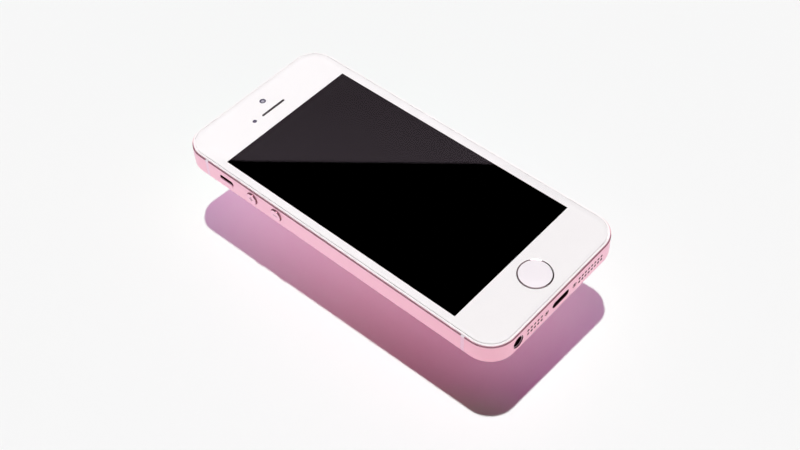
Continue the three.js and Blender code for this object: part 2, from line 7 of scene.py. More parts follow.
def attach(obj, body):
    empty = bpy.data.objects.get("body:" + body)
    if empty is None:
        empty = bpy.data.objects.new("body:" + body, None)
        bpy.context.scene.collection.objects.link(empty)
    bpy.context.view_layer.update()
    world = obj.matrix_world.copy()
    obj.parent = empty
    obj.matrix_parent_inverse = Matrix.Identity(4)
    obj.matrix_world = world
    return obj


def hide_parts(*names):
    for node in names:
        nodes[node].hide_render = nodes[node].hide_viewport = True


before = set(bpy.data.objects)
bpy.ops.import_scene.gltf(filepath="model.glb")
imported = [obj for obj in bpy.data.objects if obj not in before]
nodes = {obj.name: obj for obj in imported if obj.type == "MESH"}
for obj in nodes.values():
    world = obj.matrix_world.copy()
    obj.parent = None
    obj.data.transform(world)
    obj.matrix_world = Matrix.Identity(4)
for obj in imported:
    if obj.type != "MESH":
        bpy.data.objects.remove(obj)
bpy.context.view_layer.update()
MM = 0.001

# ---------------------------------------------------------------- dimensions, millimetres
WIDTH, LENGTH, THICKNESS, CORNER_RADIUS = 58.6, 123.8, 7.6, 8.5
HALF_W, HALF_L = WIDTH / 2, LENGTH / 2
CORNER_STEPS = 24
FRONT_CHAMFER, BACK_CHAMFER = 0.33, 0.55
BAND_TOP, RIM = 7.15, 0.4        # height of the metal band and width of its top edge
LEDGE, WALL, FLOOR = 6.35, 1.6, 1.0  # display ledge height, wall thickness, floor height
KEY_Z, END_Z = 3.8, 3.55         # centre heights of the side keys and of the bottom openings
GLASS_UNDERSIDE = 7.2
WINDOW_W, WINDOW_L = 51.2, 90.0
INLAY_INSET, INLAY_EDGE_Y = 1.3, 49.7  # seats of the two rear inlays
BREAK_Y = {"top": 50.3, "bottom": -50.7}

# places on the front and back faces
HOME = (0, -52.75, 0)
EARPIECE = (0, 50.9, 0)
FRONT_CAMERA = (0, 55.7, 0)
SENSOR = (-8.0, 51.05, 0)
CAMERA = (20.4, 55.2, 0)
FLASH = (12.2, 55.2, 0)
REAR_MIC = (15.25, 55.2, 0)

# places on the sides
VOLUME_UP = (-HALF_W, 30.8, KEY_Z)
VOLUME_DOWN = (-HALF_W, 20.6, KEY_Z)
MUTE_SLOT = (-HALF_W, 41.9, KEY_Z)
MUTE = (-HALF_W, 41.9, KEY_Z - 0.45)
POWER = (15.2, HALF_L, KEY_Z)
TRAY = (HALF_W, 13.0, KEY_Z)
TRAY_PIN = (HALF_W, 19.8, KEY_Z)
JACK_X = -19.0
SCREWS = {"left": (-6.4, -HALF_L, END_Z), "right": (6.4, -HALF_L, END_Z)}
POWER_FACE, TRAY_FACE = (9.7, 2.3), (15.6, 2.3)
POWER_HOLE = tuple(side + 0.3 for side in POWER_FACE)
TRAY_HOLE = tuple(side + 0.24 for side in TRAY_FACE)

# the bottom grilles: two rows of round holes
GRILLE_PITCH = 1.5
MIC_X = [-14.7 + GRILLE_PITCH * i for i in range(5)]
SPEAKER_X = [8.65 + GRILLE_PITCH * i for i in range(8)]
GRILLE_Z = [END_Z - 0.78, END_Z + 0.78]

# ---------------------------------------------------------------- outlines
# A face is its (u, v) directions; u x v points out of the telephone.
X, Y, Z = Vector((1, 0, 0)), Vector((0, 1, 0)), Vector((0, 0, 1))
FRONT, BACK, LEFT, RIGHT, TOP, BOTTOM = (X, Y), (-X, Y), (-Y, Z), (Y, Z), (-X, Z), (X, Z)


def rounded_ring(w, l, r, n):
    """Points of a rounded rectangle, with n steps to each corner."""
    r = max(min(r, w / 2, l / 2), 0.005)
    ring = []
    for sx, sy, start in ((1, 1, 0), (-1, 1, 90), (-1, -1, 180), (1, -1, 270)):
        for i in range(n + 1):
            a = math.radians(start + 90 * i / n)
            ring.append((sx * (w / 2 - r) + r * math.cos(a), sy * (l / 2 - r) + r * math.sin(a)))
    return ring


# A shape is a function from an inset to a ring of points.
def circle(r, n):
    turn = [2 * math.pi * i / n for i in range(n)]
    return lambda inset: [((r - inset) * math.cos(a), (r - inset) * math.sin(a)) for a in turn]


def rect(w, h, r, n):
    return lambda inset: rounded_ring(w - 2 * inset, h - 2 * inset, r - inset, n)


def pill(w, h, n):
    return lambda inset: rounded_ring(w - 2 * inset, h - 2 * inset,
                                      (min(w, h) - 2 * inset) / 2 - 1e-4, n)


def body_outline(inset, n=CORNER_STEPS):
    return rounded_ring(WIDTH - 2 * inset, LENGTH - 2 * inset, CORNER_RADIUS - inset, n)


def end_outline(inset, sign, edge_y):
    """The end of the body outline towards sign * Y, cut straight across at edge_y."""
    arc = [p for p in body_outline(inset, 20) if p[1] * sign > edge_y + 0.01]
    arc.sort(key=lambda p: math.atan2((p[1] - sign * edge_y) * sign + 1e-9, p[0]))
    half = WIDTH / 2 - inset
    ring = [(half, sign * edge_y)] + arc + [(-half, sign * edge_y)]
    return ring if sign > 0 else ring[::1]


def filleted(stations, steps=3):
    """(inset, height) stations; a third number on one is the radius that rounds it."""
    out = []
    for i, (inset, height, *radius) in enumerate(stations):
        if not radius:
            out.append((inset, height))
            continue
        p = Vector((inset, height))
        a, b = Vector(stations[i - 1][:2]) - p, Vector(stations[i + 1][:2]) - p
        reach = min(radius[0], a.length * 0.45, b.length * 0.45)
        a, b = p + a.normalized() * reach, p + b.normalized() * reach
        for k in range(steps + 1):
            u = k / steps
            q = a * (1 - u) ** 2 + p * 2 * u * (1 - u) + b * u * u
            out.append((q.x, q.y))
    return out


def slab(inset, low, high, low_fillet, high_fillet, steps=3):
    """Levels of a plate with rounded lower and upper edges."""
    return filleted([(inset, low), (0, low, low_fillet), (0, high, high_fillet), (inset, high)],
                    steps)


# ---------------------------------------------------------------- closed shells: (verts, faces)
def loft(shape, levels, at=(0, 0, 0), face=FRONT, loop=False):
    """Joins rings at (inset, height) levels. Heights run out along the face's normal."""
    u, v = face
    normal, origin = u.cross(v), Vector(at)
    verts, faces = [], []
    for inset, height in levels:
        ring = shape(inset)
        m = len(ring)
        verts += [origin + u * p[0] + v * p[1] + normal * height for p in ring]
    k = len(levels)
    for i in range(k if loop else k - 1):
        a, b = i * m, ((i + 1) % k) * m
        faces += [(a + j, a + (j + 1) % m, b + (j + 1) % m, b + j) for j in range(m)]
    if not loop:
        faces.append(tuple(reversed(range(m))))
        faces.append(tuple((k - 1) * m + j for j in range(m)))
    return verts, faces


def prism(shape, low, high, at=(0, 0, 0), face=FRONT):
    return loft(shape, [(0, low), (0, high)], at, face)


def lipped(shape, depth, lip, at, face):
    """A cutter that widens by a small lip at its mouth."""
    return loft(shape, [(0, -depth), (0, -lip), (-lip * 0.5, -lip * 0.4), (-lip, 0), (-lip, 0.6)],
                at, face)


def turned(profile, at, face=FRONT, n=64):
    """(radius, height) turned about the face's normal; it starts on the axis or closes on itself."""
    u, v = face
    normal, origin = u.cross(v), Vector(at)
    verts, rings, faces = [], [], []
    for r, height in profile:
        if r < 1e-6:
            rings.append([len(verts)])
            verts.append(origin + normal * height)
            continue
        rings.append(list(range(len(verts), len(verts) + n)))
        for i in range(n):
            a = 2 * math.pi * i / n
            verts.append(origin + u * (r * math.cos(a)) + v * (r * math.sin(a)) + normal * height)
    if profile[0][0] > 1e-6:
        rings.append(rings[0])
    for a, b in zip(rings, rings[1:]):
        for i in range(n):
            j = (i + 1) % n
            corners = (a[i % len(a)], a[j % len(a)], b[j % len(b)], b[i % len(b)])
            faces.append(tuple(dict.fromkeys(corners)))  # a triangle beside the axis
    return verts, faces


def boxed(x0, x1, y0, y1, z0, z1, bevel=0.0):
    if bevel:
        return loft(rect(x1 - x0, y1 - y0, bevel * 2, 3), slab(bevel * 2, z0, z1, bevel, bevel),
                    ((x0 + x1) / 2, (y0 + y1) / 2, 0))
    corners = ((x0, y0), (x1, y0), (x1, y1), (x0, y1))
    verts = [Vector((x, y, z)) for z in (z0, z1) for x, y in corners]
    return verts, [(3, 2, 1, 0), (4, 5, 6, 7), (0, 1, 5, 4), (1, 2, 6, 5), (2, 3, 7, 6), (3, 0, 4, 7)]


# ---------------------------------------------------------------- objects
def add_object(name, data):
    obj = bpy.data.objects.new(name, data)
    bpy.context.scene.collection.objects.link(obj)
    return obj


def solid(*parts, name="piece"):
    """One mesh object, in millimetres, from several closed shells."""
    verts, faces = [], []
    for part_verts, part_faces in parts:
        k = len(verts)
        verts += part_verts
        faces += [tuple(i + k for i in f) for f in part_faces]
    mesh = bpy.data.meshes.new(name)
    mesh.from_pydata([tuple(v) for v in verts], [], faces)
    bm = bmesh.new()
    bm.from_mesh(mesh)
    bmesh.ops.remove_doubles(bm, verts=bm.verts, dist=1e-5)
    bmesh.ops.recalc_face_normals(bm, faces=bm.faces)
    bm.to_mesh(mesh)
    bm.free()
    return add_object(name, mesh)


def combine(target, operation, parts, solver="MANIFOLD"):
    """Applies a boolean in place; the exact solver steps in where the fast one does nothing."""
    tool = solid(*parts, name="tool")
    modifier = target.modifiers.new("boolean", "BOOLEAN")
    modifier.operation, modifier.object, modifier.solver = operation, tool, solver
    before = len(target.data.polygons)
    depsgraph = bpy.context.evaluated_depsgraph_get()
    made = bpy.data.meshes.new_from_object(target.evaluated_get(depsgraph))
    target.modifiers.clear()
    bpy.data.objects.remove(tool)
    if len(made.polygons) in (0, before) and solver != "EXACT":
        bpy.data.meshes.remove(made)
        combine(target, operation, parts, solver="EXACT")
        return
    old = target.data
    target.data = made
    bpy.data.meshes.remove(old)


def cut(target, *parts):
    combine(target, "DIFFERENCE", parts)


def join(target, *parts):
    combine(target, "UNION", parts)


def keep(target, *parts):
    combine(target, "INTERSECT", parts)


SMOOTH_FACE, SMOOTH_QUAD = 0.6e-6, 4e-6  # areas below which a face, or a quad, is smooth, m2


def settle(obj, name, materials, body="phone_body", replaced=None,
           pick=lambda c, n: 0):
    """Scales a mesh to metres, shades it, gives it materials and lets it ride on its body.

    pick turns a face's centre (millimetres) and normal into a material index.
    """
    obj.name = name
    mesh = obj.data
    mesh.name = name
    mesh.transform(Matrix.Scale(MM, 4))
    mesh.materials.clear()
    for mat in materials:
        mesh.materials.append(mat)
    faces = mesh.polygons
    faces.foreach_set("use_smooth", [
        p.area < SMOOTH_FACE or len(p.vertices) == 4 and p.area < SMOOTH_QUAD for p in faces])
    faces.foreach_set("material_index", [pick(p.center / MM, p.normal) for p in faces])
    mesh.set_sharp_from_angle(angle=math.radians(28.0))
    mesh.update()
    weighted = obj.modifiers.new("weighted", "WEIGHTED_NORMAL")
    weighted.keep_sharp, weighted.weight = True, 60
    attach(obj, body)
    if replaced:
        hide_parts(replaced)


# ---------------------------------------------------------------- shader nodes
def wire(tree, node, inputs):
    """Links or sets a node's inputs, by name or by number."""
    for key, value in inputs.items():
        if isinstance(value, bpy.types.NodeSocket):
            tree.links.new(value, node.inputs[key])
        else:
            node.inputs[key].default_value = value


def add_node(tree, kind, inputs=None, **settings):
    node = tree.nodes.new("ShaderNode" + kind)
    for key, value in settings.items():
        setattr(node, key, value)
    wire(tree, node, inputs or {})
    return node


def calc(tree, operation, *values):
    return add_node(tree, "Math", dict(enumerate(values)), operation=operation).outputs[0]


def vector_calc(tree, operation, *values, **inputs):
    inputs = {**dict(enumerate(values)), **inputs}
    return add_node(tree, "VectorMath", inputs, operation=operation).outputs[0]


def dot(tree, vector, axis):
    node = add_node(tree, "VectorMath", {0: vector, 1: axis}, operation="DOT_PRODUCT")
    return node.outputs["Value"]


def map_range(tree, value, low, high, **to):
    inputs = {"Value": value, "From Min": low, "From Max": high, **to}
    return add_node(tree, "MapRange", inputs).outputs["Result"]


def mix_colors(tree, factor, first, second):
    inputs = {0: factor}
    for socket, color in ((6, first), (7, second)):
        inputs[socket] = (*color, 1) if isinstance(color, tuple) else color
    return add_node(tree, "Mix", inputs, data_type="RGBA").outputs[2]


def cleared(owner):
    """The node tree of a material or world, emptied."""
    owner.use_nodes = True
    owner.node_tree.nodes.clear()
    return owner.node_tree


# ---------------------------------------------------------------- materials
def wire_surface(mat, inputs):
    wire(mat.node_tree, mat.node_tree.nodes["Principled BSDF"], inputs)


def add_grain(mat, roughness, scale, spread, bump=0.0):
    """Noise in object space: varies roughness a little and lifts the surface by a few microns."""
    tree = mat.node_tree
    place = add_node(tree, "TexCoord").outputs["Object"]
    noise = add_node(tree, "TexNoise", {"Scale": scale, "Detail": 2.0, "Vector": place})
    noise = noise.outputs["Fac"]
    varied = map_range(tree, noise, 0.3, 0.7,
                       **{"To Min": roughness - spread, "To Max": roughness + spread})
    wire_surface(mat, {"Roughness": varied})
    if bump:
        lift = {"Strength": bump, "Distance": 0.00002, "Height": noise}
        wire_surface(mat, {"Normal": add_node(tree, "Bump", lift).outputs["Normal"]})


def surface(name, color, roughness, metallic=0.0, specular=0.5, coat=0.0, grain=None):
    mat = bpy.data.materials.new(name)
    mat.use_nodes = True
    wire_surface(mat, {
        "Base Color": (*color, 1), "Roughness": roughness, "Metallic": metallic,
        "Specular IOR Level": specular, "IOR": 1.5, "Coat Weight": coat, "Coat Roughness": 0.03})
    if grain:
        add_grain(mat, roughness, **grain)
    return mat


def add_ink_painted_falloff(mat):
    """Painted light: the ink is painted a little whiter towards the earpiece end, standing in for the
    light falling off towards the home button end.
    """
    tree = mat.node_tree
    position = add_node(tree, "NewGeometry").outputs["Position"]
    y = add_node(tree, "SeparateXYZ", {0: position}).outputs[1]
    painted_falloff_tint = mix_colors(tree, map_range(tree, y, -0.045, 0.055),
                      (0.877, 0.847, 0.854), (0.925, 0.898, 0.903))
    wire_surface(mat, {"Base Color": painted_falloff_tint})


def acoustic_mesh(name, pitch, dark, light):
    """A woven mesh: sets of fine wires in object space, pitch in metres."""
    mat = surface(name, dark, roughness=0.7, metallic=0.2)
    tree = mat.node_tree
    place = add_node(tree, "TexCoord").outputs["Object"]
    axes = add_node(tree, "SeparateXYZ", {0: place})
    waves = [calc(tree, "SINE", calc(tree, "MULTIPLY", axis, 2 * math.pi / pitch))
             for axis in axes.outputs]
    wires = calc(tree, "MAXIMUM", waves[0], calc(tree, "MAXIMUM", waves[1], waves[2]))
    wire_surface(mat, {"Base Color": mix_colors(tree, wires, dark, light)})
    return mat


def circuit_board():
    mat = surface("circuit_board", (0.01, 0.06, 0.035), roughness=0.4)
    tree = mat.node_tree
    brick = add_node(tree, "TexBrick", {
        "Vector": add_node(tree, "TexCoord").outputs["Object"], "Scale": 260.0,
        "Color1": (0.012, 0.07, 0.04, 1), "Color2": (0.02, 0.02, 0.022, 1),
        "Mortar": (0.35, 0.27, 0.12, 1), "Mortar Size": 0.006})
    wire_surface(mat, {"Base Color": brick.outputs["Color"]})
    return mat


def cover_glass():
    """Clear, straight-through glass with the mirror share of its front surface only."""
    mat = bpy.data.materials.new("cover_glass")
    tree = cleared(mat)
    clear = add_node(tree, "BsdfTransparent", {"Color": (1, 1, 1, 1)})
    gloss = add_node(tree, "BsdfGlossy", {"Roughness": 0.0})
    fresnel = add_node(tree, "Fresnel", {"IOR": 1.5})
    geometry = add_node(tree, "NewGeometry")
    facing = calc(tree, "SUBTRACT", 1.0, geometry.outputs["Backfacing"])
    mirror = calc(tree, "MULTIPLY", fresnel.outputs[0], facing)
    mix = add_node(tree, "MixShader", {0: mirror, 1: clear.outputs[0], 2: gloss.outputs[0]})
    add_node(tree, "OutputMaterial", {0: mix.outputs[0]})
    return mat


alu = surface("anodised_pink", (0.965, 0.575, 0.695), roughness=0.38, metallic=1.0,
              grain=dict(scale=9000.0, spread=0.04, bump=0.12))
chamfer = surface("diamond_cut_edge", (0.93, 0.55, 0.63), roughness=0.14, metallic=1.0,
                  grain=dict(scale=2500.0, spread=0.03))
# painted shade: the insides of holes and slots are painted dark maroon instead of the band's pink,
# standing in for shade and pink bounce between the walls
inside_painted_shade = surface("machined_inside_painted_shade", (0.075, 0.010, 0.018), roughness=0.55, metallic=0.4)
key_satin = surface("key_satin", (0.965, 0.59, 0.72), roughness=0.32, metallic=1.0,
                    grain=dict(scale=9000.0, spread=0.04, bump=0.08))
# painted shade: the polished rims are painted a far darker pink than the key metal, standing in for
# the shade in the gaps around the keys, the card drawer and the camera surround
rim_painted_shade = surface("polished_rim_painted_shade", (0.46, 0.25, 0.30), roughness=0.08, metallic=1.0)
engraved = surface("key_engraving", (0.45, 0.2, 0.26), roughness=0.5, metallic=0.4)
white_plastic = surface("white_plastic", (0.95, 0.90, 0.91), roughness=0.32,
                        grain=dict(scale=4000.0, spread=0.04))
break_white = surface("antenna_plastic", (0.90, 0.83, 0.88), roughness=0.38)
break_side = surface("antenna_plastic_face", (0.94, 0.66, 0.80), roughness=0.4, metallic=0.9)
ink = surface("white_ink", (0.872, 0.842, 0.849), roughness=0.6, specular=0.0)
# painted light: the ink's colour brightens towards the earpiece end
add_ink_painted_falloff(ink)
panel_black = surface("panel_black", (0.0, 0.0, 0.0), roughness=0.6, specular=0.0)
rear_white = surface("rear_white_glass", (0.92, 0.90, 0.905), roughness=0.06, coat=1.0)
disc_white = surface("home_disc_white", (0.895, 0.835, 0.872), roughness=0.12, coat=0.3)
ring_steel = surface("home_ring_steel", (0.62, 0.52, 0.54), roughness=0.08, metallic=1.0)
add_grain(ring_steel, roughness=0.1, scale=3000.0, spread=0.03)
black = surface("black_plastic", (0.018, 0.017, 0.018), roughness=0.42,
                grain=dict(scale=3000.0, spread=0.06, bump=0.1))
# the socket interiors are black plastic, and the faint red in this black is painted bounce light from
# the pink metal; on the screws it is painted shade in the star recess
black_and_recess_shade = surface("socket_black_and_recess_shade", (0.014, 0.0015, 0.004), roughness=0.7, specular=0.1)
jack_sleeve = surface("socket_sleeve", (0.86, 0.60, 0.72), roughness=0.38, metallic=0.7)
steel = surface("satin_steel", (0.56, 0.55, 0.55), roughness=0.3, metallic=1.0,
                grain=dict(scale=1500.0, spread=0.08))
screw_metal = surface("screw_head", (0.72, 0.38, 0.48), roughness=0.34, metallic=1.0)
gold = surface("gold_contacts", (0.83, 0.61, 0.28), roughness=0.22, metallic=1.0)
heavy_alloy = surface("heavy_alloy", (0.36, 0.34, 0.32), roughness=0.35, metallic=1.0)
rubber = surface("rubber_black", (0.02, 0.02, 0.02), roughness=0.85)
flex_film = surface("flex_film", (0.30, 0.13, 0.035), roughness=0.4)
battery_wrap = surface("battery_wrap", (0.022, 0.022, 0.026), roughness=0.4,
                       grain=dict(scale=400.0, spread=0.1, bump=0.3))
phosphor = surface("lamp_phosphor", (0.85, 0.72, 0.16), roughness=0.5)
lens_black = surface("lens_cover", (0.006, 0.007, 0.012), roughness=0.03, specular=0.6, coat=1.0)
lens_blue = surface("lens_coating", (0.03, 0.035, 0.085), roughness=0.06, specular=0.9, coat=1.0)
# painted highlight: the centre of the front camera lens is painted light grey, standing in for a
# reflection in the lens
lens_painted_highlight = surface("lens_centre_painted_highlight", (0.38, 0.37, 0.42), roughness=0.2, specular=0.6, coat=0.5)
lamp_clear = surface("lamp_window", (0.86, 0.87, 0.84), roughness=0.15, coat=0.5)
cloth = acoustic_mesh("acoustic_mesh", pitch=0.00016, dark=(0.012, 0.010, 0.011),
                      light=(0.06, 0.045, 0.05))
board = circuit_board()
glass = cover_glass()

# ---------------------------------------------------------------- rear housing
# outer face of the metal band, back to front: (inset, height)
BAND_FACE = [(BACK_CHAMFER, 0), (0, BACK_CHAMFER), (0, BAND_TOP - FRONT_CHAMFER),
             (FRONT_CHAMFER, BAND_TOP), (RIM, BAND_TOP), (RIM, LEDGE)]


def inlay(sign, clearance, low, high, lip=0.0):
    """A plate in the end of the back towards sign * Y, with a chamfered rear edge if it has a lip."""
    inset, edge_y = INLAY_INSET + clearance, INLAY_EDGE_Y + clearance
    levels = [(lip, low), (0, low + lip), (0, high)] if lip else [(0, low), (0, high)]
    return loft(lambda extra: end_outline(inset + extra, sign, edge_y + extra), levels)


def rear_openings():
    return [prism(circle(3.6, 64), -1, 1.6, CAMERA), prism(pill(2.6, 4.6, 12), -1, 1.6, FLASH),
            prism(circle(0.5, 24), -1, 1.6, REAR_MIC)]


def break_box(side, end, depth, half):
    """A box across the band at one antenna break; side is the sign of x."""
    x0, x1 = sorted((side * (HALF_W - depth), side * (HALF_W + 1)))
    return boxed(x0, x1, BREAK_Y[end] - half, BREAK_Y[end] + half, -1, 9)


def housing_pick(c, n):
    """0 satin band, 1 polished chamfers, 2 machined inside, painted dark maroon as the shade in holes
    and slots.
    """
    depth = min(HALF_W - abs(c.x), HALF_L - abs(c.y))
    corner = Vector((max(abs(c.x) - (HALF_W - CORNER_RADIUS), 0),
                     max(abs(c.y) - (HALF_L - CORNER_RADIUS), 0)))
    if corner.x > 0 and corner.y > 0:
        depth = CORNER_RADIUS - corner.length
    if 0.25 < abs(n.z) < 0.97 and depth < 0.6 and (c.z > 6.5 or c.z < 0.6):
        return 1
    if depth < 0.03 or c.z < 0.02 or (c.z > 7.1 and depth < 0.5):
        return 0
    if depth < 0.2 and max(abs(n.x), abs(n.y)) > 0.45:
        return 1
    return 2


def housing():
    band = filleted([(6, 0), *BAND_FACE, (WALL, LEDGE), (WALL, FLOOR, 0.3), (8, FLOOR)], 4)
    shell = solid(loft(body_outline, band))
    # openings in the sides
    holes = [prism(circle(0.46, 20), -2.6, 0.6, (x, -HALF_L, z), BOTTOM)
             for x in MIC_X + SPEAKER_X for z in GRILLE_Z]
    screw_mouth = [(0, -0.75), (0, -0.05), (-0.05, 0), (-0.05, 0.6)]
    holes += [loft(circle(0.92, 32), screw_mouth, at, BOTTOM) for at in SCREWS.values()]
    holes.append(lipped(circle(2.12, 64), 2.9, 0.06, (JACK_X, -HALF_L, END_Z), BOTTOM))
    holes.append(lipped(pill(7.5, 2.4, 16), 2.9, 0.06, (0, -HALF_L, END_Z), BOTTOM))
    holes += [lipped(circle(2.14, 64), 1.0, 0.08, at, LEFT) for at in (VOLUME_UP, VOLUME_DOWN)]
    holes.append(lipped(rect(5.6, 2.3, 0.8, 12), 1.0, 0.06, MUTE_SLOT, LEFT))
    holes.append(lipped(pill(*POWER_HOLE, 16), 1.0, 0.1, POWER, TOP))
    holes.append(lipped(pill(*TRAY_HOLE, 16), 3.0, 0.05, TRAY, RIGHT))
    cut(shell, *holes)
    # seats behind the keys and clearance for the screws
    seat_top = -0.78
    seats = [prism(rect(6.4, 4.76, 1.4, 8), -2.0, seat_top, at, LEFT)
             for at in (VOLUME_UP, VOLUME_DOWN)]
    seats.append(prism(rect(7.8, 3.8, 0.6, 6), -2.0, seat_top, MUTE_SLOT, LEFT))
    seats.append(prism(pill(11.8, 3.7, 12), -2.2, seat_top, POWER, TOP))
    seats += [prism(circle(0.6, 20), -2.6, -0.7, at, BOTTOM) for at in SCREWS.values()]
    cut(shell, *seats)
    cut(shell, inlay(1, 0, -1, 0.6), inlay(-1, 0, -1, 0.6))
    cut(shell, *rear_openings())
    cut(shell, *[break_box(side, end, 0.9, 0.6) for side in (1, -1) for end in BREAK_Y])
    settle(shell, "housing_shell", [alu, chamfer, inside_painted_shade], replaced="rear_housing",
           pick=housing_pick)


def antenna_breaks():
    """Short lengths of the band in plastic."""
    for side, side_name in ((1, "right"), (-1, "left")):
        for end in BREAK_Y:
            plastic = solid(loft(body_outline, [(8, 0), *BAND_FACE, (8, LEDGE)]))
            keep(plastic, break_box(side, end, 0.87, 0.585))
            settle(plastic, f"antenna_plastic_{side_name}_{end}", [break_white, break_side],
                   replaced=f"antenna_break_{side_name}_{end}",
                   pick=lambda c, n: int(abs(n.x) > 0.95))


def rear_inlays():
    for sign, end in ((1, "top"), (-1, "bottom")):
        plate = solid(inlay(sign, 0.04, 0, 0.56, lip=0.04))
        if end == "top":
            cut(plate, *rear_openings())
        settle(plate, f"rear_inlay_{end}", [rear_white], replaced=f"rear_glass_{end}")


def rear_camera():
    surround = solid(turned([(3.52, -0.95), (3.52, -0.1), (3.42, 0.0), (2.92, 0.0), (2.8, -0.12),
                             (2.8, -0.95)], CAMERA, BACK, 96))
    # painted shade: the surround takes the dark rim colour
    settle(surround, "camera_surround", [rim_painted_shade], replaced="camera_lens_ring")
    window = solid(turned([(0, -0.62), (2.7, -0.62), (2.7, -0.16), (2.62, -0.12), (0, -0.12)],
                          CAMERA, BACK, 96))
    settle(window, "camera_window", [lens_black], replaced="camera_lens_cover")
    pupil = solid(turned([(0, -0.115), (0.4, -0.108), (0.9, -0.1), (1.15, -0.098), (1.2, -0.1),
                          (1.2, -0.3), (0, -0.3)], CAMERA, BACK))
    settle(pupil, "camera_pupil", [lens_blue])


def rear_lamp():
    window = solid(loft(pill(2.5, 4.5, 16), slab(1.0, -0.85, -0.03, 0.05, 0.1), FLASH, BACK))
    settle(window, "lamp_window", [lamp_clear], replaced="flash_lens")
    profile = [(0, -0.034), (0.5, -0.03), (0.62, -0.028), (0.62, -0.2), (0, -0.2)]
    for number, dy in ((1, -0.95), (2, 0.95)):
        spot = solid(turned(profile, (FLASH[0], FLASH[1] + dy, 0), BACK, 40))
        settle(spot, f"lamp_emitter_{number}", [phosphor])


def rear_microphone():
    disc = solid(turned([(0, -0.9), (0.46, -0.9), (0.46, -0.2), (0, -0.2)], REAR_MIC, BACK, 32))
    settle(disc, "rear_microphone_cloth", [cloth], replaced="rear_microphone_mesh")


def end_screws():
    """Screws beside the charging socket, with a five-pointed star recess."""
    tip, root = 0.56, 0.38
    star = []
    for i in range(10):
        r, a = (root if i % 2 else tip), math.pi * i / 5
        star.append((r * math.cos(a), r * math.sin(a)))
    profile = [(0, -3.2), (0.5, -3.2), (0.5, -0.7), (0.82, -0.7), (0.82, -0.14), (0.76, -0.08),
               (0, -0.08)]
    for side, at in SCREWS.items():
        screw = solid(turned(profile, at, BOTTOM, 48))
        cut(screw, prism(lambda inset: star, -0.45, 0.3, at, BOTTOM))

        def recess(c, n, at=at):
            near = math.hypot(c.x - at[0], c.z - at[2]) < tip + 0.01
            return int(near and c.y > -HALF_L + 0.09)

        # painted shade: the star recess of the metal screw is painted near black
        settle(screw, f"end_screw_{side}", [screw_metal, black_and_recess_shade], replaced=f"case_screw_{side}",
               pick=recess)


def grille_cloths():
    for name, holes in (("microphone", MIC_X), ("speaker", SPEAKER_X)):
        strip = solid(boxed(holes[0] - 0.8, holes[-1] + 0.8, -60.25, -60.07,
                            END_Z - 1.3, END_Z + 1.3, 0.03))
        settle(strip, f"{name}_cloth", [cloth], replaced=f"{name}_mesh")


# ---------------------------------------------------------------- sockets
def charging_socket():
    mouth = (0, -HALF_L + 0.3, END_Z)
    port = solid(loft(pill(7.4, 2.3, 16), [(0.1, 0.0), (0, -0.06), (0, -1.6)], mouth, BOTTOM))
    join(port, loft(rect(8.6, 2.5, 0.35, 5), slab(0.4, -8.2, -1.45, 0.2, 0.2), mouth, BOTTOM))
    cut(port, loft(pill(7.1, 2.0, 16), [(0, -6.6), (0, -0.08), (-0.05, 0.05), (-0.05, 0.6)],
                   mouth, BOTTOM))
    # painted shade: the rim faces at the socket's mouth take the dark inside colour
    settle(port, "charging_socket", [black_and_recess_shade, inside_painted_shade], replaced="charging_port",
           pick=lambda c, n: int(c.y < mouth[1] + 0.01 and abs(n.y) > 0.9))
    tongue_top, pin_pitch = 2.94, 0.7
    tongue = solid(boxed(-2.72, 2.72, -59.6, -55.1, 2.74, tongue_top, 0.04))
    settle(tongue, "charging_contact_strip", [black_and_recess_shade], replaced="charging_port_contacts")
    pins = solid(*[boxed(-2.66 + i * pin_pitch, -2.24 + i * pin_pitch, -59.4, -55.6,
                         tongue_top, 3.02, 0.02) for i in range(8)])
    settle(pins, "charging_contact_pins", [gold])


def earphone_socket():
    mouth, bore = (JACK_X, -HALF_L + 0.28, END_Z), 1.75
    jack = solid(turned([(2.05, -2.6), (2.05, -0.04), (2.01, 0.0), (1.79, 0.0), (bore, -0.05),
                         (bore, -2.6)], mouth, BOTTOM))
    join(jack, loft(rect(5.4, 4.6, 0.6, 5), slab(0.6, -15.2, -1.75, 0.3, 0.3), mouth, BOTTOM))
    cut(jack, prism(circle(bore, 64), -13.2, -0.6, mouth, BOTTOM))
    settle(jack, "earphone_socket", [black_and_recess_shade, jack_sleeve], replaced="headphone_jack",
           pick=lambda c, n: int(c.y < mouth[1] + 0.07 and n.y < -0.3))
    springs = solid(*[boxed(JACK_X - 0.35, JACK_X + 0.35, y, y + 1.1, END_Z - 1.74, END_Z - 1.45,
                            0.05) for y in (-58.6, -55.6, -52.4)])
    settle(springs, "earphone_socket_springs", [gold])


# ---------------------------------------------------------------- display
def display_rim():
    foot = LEDGE + 0.05
    rim = solid(loft(body_outline, filleted([
        (0.415, foot), (0.415, 7.42, 0.03), (0.9, 7.42, 0.02), (0.9, 7.12),
        (1.045, 7.12), (1.045, 6.85), (2.2, 6.85), (2.2, foot)]), loop=True))
    settle(rim, "display_rim", [white_plastic], replaced="display_frame")
    tabs = solid(*[boxed(x - 1.2, x + 1.2, -59.95, -58.6, 2.5, 6.4, 0.1)
                   for x, _, _ in SCREWS.values()])
    cut(tabs, *[prism(circle(0.56, 24), -3.6, -1.5, at, BOTTOM) for at in SCREWS.values()])
    settle(tabs, "display_rim_tabs", [steel])


